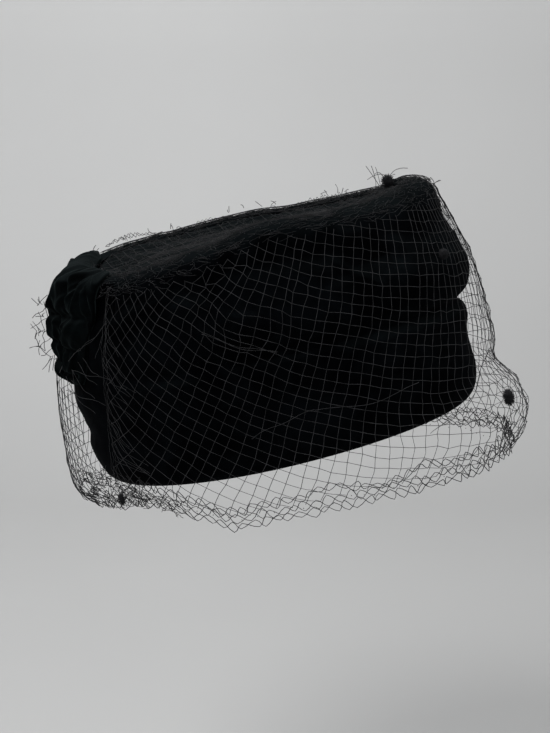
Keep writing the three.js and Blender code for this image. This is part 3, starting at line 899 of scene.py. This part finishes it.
def fray_threads(tip_edge):
    """Loose ends of the net that stand up round the crown's edge and behind the knot."""
    random = np.random.default_rng(11)
    lines = []
    for angle, out, z, count, length, rise in FRAYS:
        for _ in range(count):
            a = angle + random.uniform(-3.5, 3.5)
            root = np.array([a, out, z + (tip_edge(a) if z > 100 else 0.0) + random.uniform(-1, 1)])
            heading = random.uniform(-1.2, 1.2), random.uniform(0.0, 1.0), rise + random.uniform(-0.3, 0.5)
            bend = random.uniform(-0.35, 0.35, 3)
            path = [root]
            for _ in range(6):
                heading = unit(np.array(heading)) + bend
                go = unit(heading) * length / 6 * random.uniform(0.7, 1.2)
                path.append(path[-1] + 1.15 * go * (0.57, 1, 1))
            path = np.array(path)
            lines.append(oval(path[:, 0], path[:, 1], path[:, 2]))
    return lines


def flap_threads():
    """The net's torn end that stands out behind the knot, and its fringe over the crown's far edge."""
    random = np.random.default_rng(21)
    lines = []
    for z in np.arange(70, 105, 5.6):
        reach = 24 + 11.5 * math.sin((z - 64) / 44 * math.pi) + random.uniform(-1.5, 1.5)
        out = np.arange(19, reach, 2.4)
        angle = 179 + random.normal(0, 1.2, len(out))
        lines.append(oval(angle, out, z + random.normal(0, 0.9, len(out)) - (out - 19) * 0.3))
    for out in (22.5, 27.5, 32.0):
        z = np.arange(70 + (out - 22) * 0.7, 104 - (out - 22) * 1.1, 2.8)
        lines.append(oval(179 + random.normal(0, 1.2, len(z)), out + random.normal(0, 0.8, len(z)), z))
    for start, end, tall in ((34, 76, 5.0), (96, 112, 3.0), (124, 150, 4.0)):
        for phase in (0, 1):
            angle = np.arange(start, end, 1.6)
            step = (np.arange(len(angle)) + phase) % 2
            rise = tall * (0.35 + 0.65 * step) * np.sin(np.linspace(0.25, math.pi - 0.25, len(angle)))
            rise = rise + random.normal(0, 0.5, len(angle))
            top = 118 + lift_at(CROWN_SAG, angle)
            lines.append(oval(angle, -2 + random.normal(0, 0.6, len(angle)), top - 3 + rise))
    return lines


def seam_threads(net):
    """The gathered seam: a few strands along it, and others that leave it and run into the net."""
    lines = []
    for n in range(3):
        length = np.linspace(-14, net.length_at(-133, 107), 110)
        _, z = net.at(SEAM + 0 * length, length)
        wobble = 0.5 * wander(length / 2.6, n * 3.1, 6.0)
        aside = 0.7 * math.sin(n * 2.1) + 0.5 * np.sin(length / 9 + n * 1.7)
        angle = seam_angle(z) + aside + wobble
        length = np.maximum(length, net.edge(angle, net.low))
        lines.append(net.at(angle, length, 0.2 + 0.3 * math.cos(n * 1.3))[0])
    random = np.random.default_rng(3)
    for n in range(22):
        top = 92 - 4.9 * n + random.uniform(-1.5, 1.5)
        if top < -6:
            continue
        reach, drop = random.uniform(4, 12), random.uniform(9, 24)
        start, end = net.length_at(-134, top), net.length_at(-134, top - drop)
        share = np.linspace(0, 1, 18)
        angle = seam_angle(top) + reach * share**1.5 + 0.5 * np.sin(share * 9 + n)
        length = np.maximum(start + (end - start) * share, net.edge(angle, net.low) + 2)
        lines.append(net.at(angle, length, 0.25)[0])
    return lines


def crease_threads(net):
    """Threads that lie doubled where the net is creased."""
    lines = []
    for a0, z0, a1, z1, sag_by, count in CREASES:
        start, end = net.length_at(a0, z0), net.length_at(a1, z1)
        share = np.linspace(0, 1, 30)
        for n in range(count):
            angle = a0 + (a1 - a0) * share + 0.3 * n * np.sin(share * 5)
            sag = sag_by * np.sin(share * math.pi) - 0.5 * n - 0.7 * np.sin(share * 9 + n)
            length = start + (end - start) * share - sag
            lines.append(net.at(angle, length, 0.3)[0])
    return lines


def joined(meshes, name):
    """Several plain meshes of one material as one."""
    points, quads, start = [], [], 0
    for made in meshes:
        mesh = made.data
        places = np.empty(len(mesh.vertices) * 3)
        mesh.vertices.foreach_get("co", places)
        points.append(places.reshape(-1, 3))
        corners = len(mesh.polygons[0].vertices)
        index = np.empty(len(mesh.polygons) * corners, int)
        mesh.polygons.foreach_get("vertices", index)
        quads.append(index.reshape(-1, corners) + start)
        start += len(places) // 3
    triangles = [np.concatenate([q[:, :3], q[:, [0, 2, 3]]]) if q.shape[1] == 4 else q for q in quads]
    material = meshes[0].data.materials[0]
    for made in meshes:
        bpy.data.objects.remove(made)
    return mesh_object(name, np.concatenate(points), np.concatenate(triangles), material)


def net_crossings(net, grid):
    """A small knot of eight faces at each crossing."""
    flat = grid[np.isfinite(grid[..., 0])]
    angle, length = flat.T
    points, z = net.at(angle, length)
    keep = (length > net.edge(angle, net.low) + 3) & (length < net.edge(angle, net.high) - 8)
    knots = points[keep & ~in_knot(angle, z)]
    shape = np.array([[1, 0, 0], [-1, 0, 0], [0, 1, 0], [0, -1, 0], [0, 0, 1], [0, 0, -1]]) * 0.00033
    eight = np.array([[0, 2, 4], [2, 1, 4], [1, 3, 4], [3, 0, 4], [2, 0, 5], [1, 2, 5], [3, 1, 5], [0, 3, 5]])
    faces = (np.arange(len(knots))[:, None, None] * 6 + eight[None]).reshape(-1, 3)
    return mesh_object("crossings", (knots[:, None] + shape[None]).reshape(-1, 3), faces, NET_THREAD)


def make_net(tip_height, tip_edge):
    """The veil: its mesh first, then the pieces that belong to it."""
    net = Net()
    grid = slacken(crossings(net))
    rounds = tubes("rounds", threads(net, grid), THREAD, NET_THREAD)
    uprights = tubes("uprights", threads(net, np.swapaxes(grid, 0, 1)), THREAD, NET_THREAD)
    return [
        joined([rounds, uprights, net_crossings(net, grid)], "net_mesh"),
        tubes("net_hem", hem_threads(net), THREAD * 1.45, NET_THREAD),
        tubes("net_crown", crown_threads(tip_height), THREAD * 0.85, NET_THREAD),
        tubes("net_frays", fray_threads(tip_edge), THREAD * 1.2, NET_THREAD),
        tubes("net_gather", seam_threads(net), THREAD * 0.75, NET_THREAD),
        tubes("net_flap", flap_threads(), THREAD * 1.25, NET_THREAD),
        tubes("net_tangle", tangle_threads(net), THREAD, NET_THREAD),
        tubes("net_creases", crease_threads(net), THREAD, NET_THREAD),
        tubes("net_rucks", ruck_threads(net, tip_height), THREAD * 0.6, NET_THREAD, 3),
    ]


# The chenille.


def chenille(name, centre, radius, hairs, length, seed, lean_angle=0.0):
    """A tufted dot: a small core under short pile."""
    random = np.random.default_rng(seed)
    k = np.arange(hairs) + 0.5
    polar = np.arccos(1 - 2 * k / hairs)
    around = math.pi * (1 + 5**0.5) * k
    way = np.stack([np.cos(around) * np.sin(polar), np.sin(around) * np.sin(polar), np.cos(polar)], -1)
    way = unit(way + random.normal(0, 0.16, way.shape))
    r = np.asarray(radius, float)
    root = way * r * 0.7
    tip = way * r * 0.82 + way * (length * random.uniform(0.6, 1.25, (hairs, 1)))
    side = unit(np.cross(way, random.normal(0, 1, way.shape)))
    other = np.cross(way, side)
    thick = 0.16
    ring = [root + side * thick, root - side * thick * 0.5 + other * thick * 0.87,
            root - side * thick * 0.5 - other * thick * 0.87, tip]
    points = np.stack(ring, 1).reshape(-1, 3)
    base = np.arange(hairs)[:, None] * 4
    faces = np.concatenate([base + [0, 1, 3], base + [1, 2, 3], base + [2, 0, 3]])
    around, up = 16, 10
    a, b = np.meshgrid(np.arange(around) * 2 / around, (np.arange(up) + 0.5) / up, indexing="ij")
    a, b = a * math.pi, b * math.pi
    core = np.stack([np.cos(a) * np.sin(b), np.sin(a) * np.sin(b), np.cos(b)], -1).reshape(-1, 3)
    quads = grid_faces(around, up, True, False, len(points))
    core_faces = np.concatenate([quads[:, [0, 1, 2]], quads[:, [0, 2, 3]]])
    points = np.concatenate([points, core * r * 0.86])
    ca, sa = math.cos(lean_angle), math.sin(lean_angle)
    x, y, z = points.T
    placed = leaned(x * ca - y * sa, x * sa + y * ca, z) + np.asarray(centre)
    return mesh_object(name, placed, np.concatenate([faces, core_faces]), CHENILLE)


def middle_of(node):
    low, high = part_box(node)
    return [(a + b) / 2 for a, b in zip(low, high)]


# Camera, light and floor.


def make_stage():
    camera = new_object("camera", bpy.data.cameras.new("camera"))
    camera.data.sensor_fit = "HORIZONTAL"
    camera.data.sensor_width = SENSOR
    camera.data.lens = LENS_PIXELS / PICTURE_PIXELS * SENSOR
    up = math.radians(CAMERA_RISE)
    camera.location = (0, -math.cos(up), 0.05 + math.sin(up))
    aim = Vector((-0.00802, -0.0023, 0.05 - 0.01548))
    camera.rotation_euler = (aim - camera.location).to_track_quat("-Z", "Y").to_euler()
    bpy.context.scene.camera = camera

    world = bpy.data.worlds.new("studio")
    bpy.context.scene.world = world
    world.use_nodes = True
    background = world.node_tree.nodes["Background"].inputs
    background["Color"].default_value, background["Strength"].default_value = (0.8, 0.82, 0.85, 1), 0.42

    def lamp(name, place, size, power):
        light = new_object(name, bpy.data.lights.new(name, "AREA"))
        light.data.shape = "DISK"
        light.data.size = size
        light.data.energy = power
        light.location = place
        light.rotation_euler = (Vector((0, 0, 0.03)) - Vector(place)).to_track_quat("-Z", "Y").to_euler()

    lamp("key", (-0.9, -1.3, 1.7), 1.1, 30)
    lamp("top", (0.15, 0.25, 1.9), 1.2, 22)
    lamp("fill", (1.5, -1.4, 0.7), 1.2, 9)

    wall, steps = [], 24
    line = [(-2.6, -0.27)] + [(0.9 + 0.5 * math.sin(t), -0.27 + 0.5 * (1 - math.cos(t)))
                              for t in np.linspace(0, math.pi / 2, steps)] + [(1.4, 3.2)]
    for x in (-4.0, 4.0):
        wall += [(x, y, z) for y, z in line]
    faces = grid_faces(2, len(line), False, False)
    backdrop_material, nodes, links, shader = new_material("backdrop")
    place = add_node(nodes, "TexCoord")
    grain = add_node(nodes, "TexNoise", Scale=3)
    colours = colour_ramp(nodes, 0, (0.58, 0.58, 0.575), 1, (0.62, 0.62, 0.615))
    links.new(place.outputs["Object"], grain.inputs["Vector"])
    links.new(grain.outputs["Fac"], colours.inputs["Fac"])
    # Painted shade: the backdrop's colour is darkened towards the floor and to the right, standing in for the
    # fall of light.
    parts = add_node(nodes, "SeparateXYZ")
    up = add_node(nodes, "MapRange", From_Min=-0.27, From_Max=0.25, To_Min=0.78, To_Max=1.07)
    side = add_node(nodes, "MapRange", From_Min=-0.1, From_Max=0.7, To_Min=1.0, To_Max=0.8)
    both, shade = add_node(nodes, "Math"), add_node(nodes, "VectorMath")
    both.operation, shade.operation = "MULTIPLY", "SCALE"
    links.new(place.outputs["Object"], parts.inputs["Vector"])
    links.new(parts.outputs["Z"], up.inputs["Value"])
    links.new(parts.outputs["X"], side.inputs["Value"])
    links.new(up.outputs["Result"], both.inputs[0])
    links.new(side.outputs["Result"], both.inputs[1])
    links.new(colours.outputs["Color"], shade.inputs[0])
    links.new(both.outputs["Value"], shade.inputs["Scale"])
    links.new(shade.outputs["Vector"], shader.inputs["Base Color"])
    shader.inputs["Roughness"].default_value = 0.95
    mesh_object("backdrop", wall, faces, backdrop_material)
    bpy.context.scene.view_settings.view_transform = "Standard"


make_stage()
band = make_band()
tip, tip_height = make_tip()
knot = make_knot()
net_parts = make_net(tip_height, lambda angle: float(lift_at(CROWN_SAG, angle)))
dot_front = chenille("tuft_front", middle_of("dot_front"), (2.3, 2.6, 4.3), 900, 1.7, 1, math.radians(-24))
dot_brow = chenille("tuft_brow", middle_of("dot_brow"), (2.2, 2.5, 2.5), 900, 1.1, 2, math.radians(-30))
dot_crown = chenille("tuft_crown", middle_of("dot_crown"), (2.6, 2.6, 3.2), 650, 2.1, 3)
knotted = chenille("tie_core", middle_of("veil_tie"), (1.3, 1.3, 3.0), 300, 1.9, 4, math.radians(-144))

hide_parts("lower_roll", "upper_drape")
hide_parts("crown_tip")
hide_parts("back_knot")
for part in net_parts:
    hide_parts("veil")
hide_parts("dot_front")
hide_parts("dot_brow")
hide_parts("dot_crown")
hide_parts("veil_tie")
for part in [band, tip, knot, *net_parts, dot_front, dot_brow, dot_crown, knotted]:
    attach(part, "root")
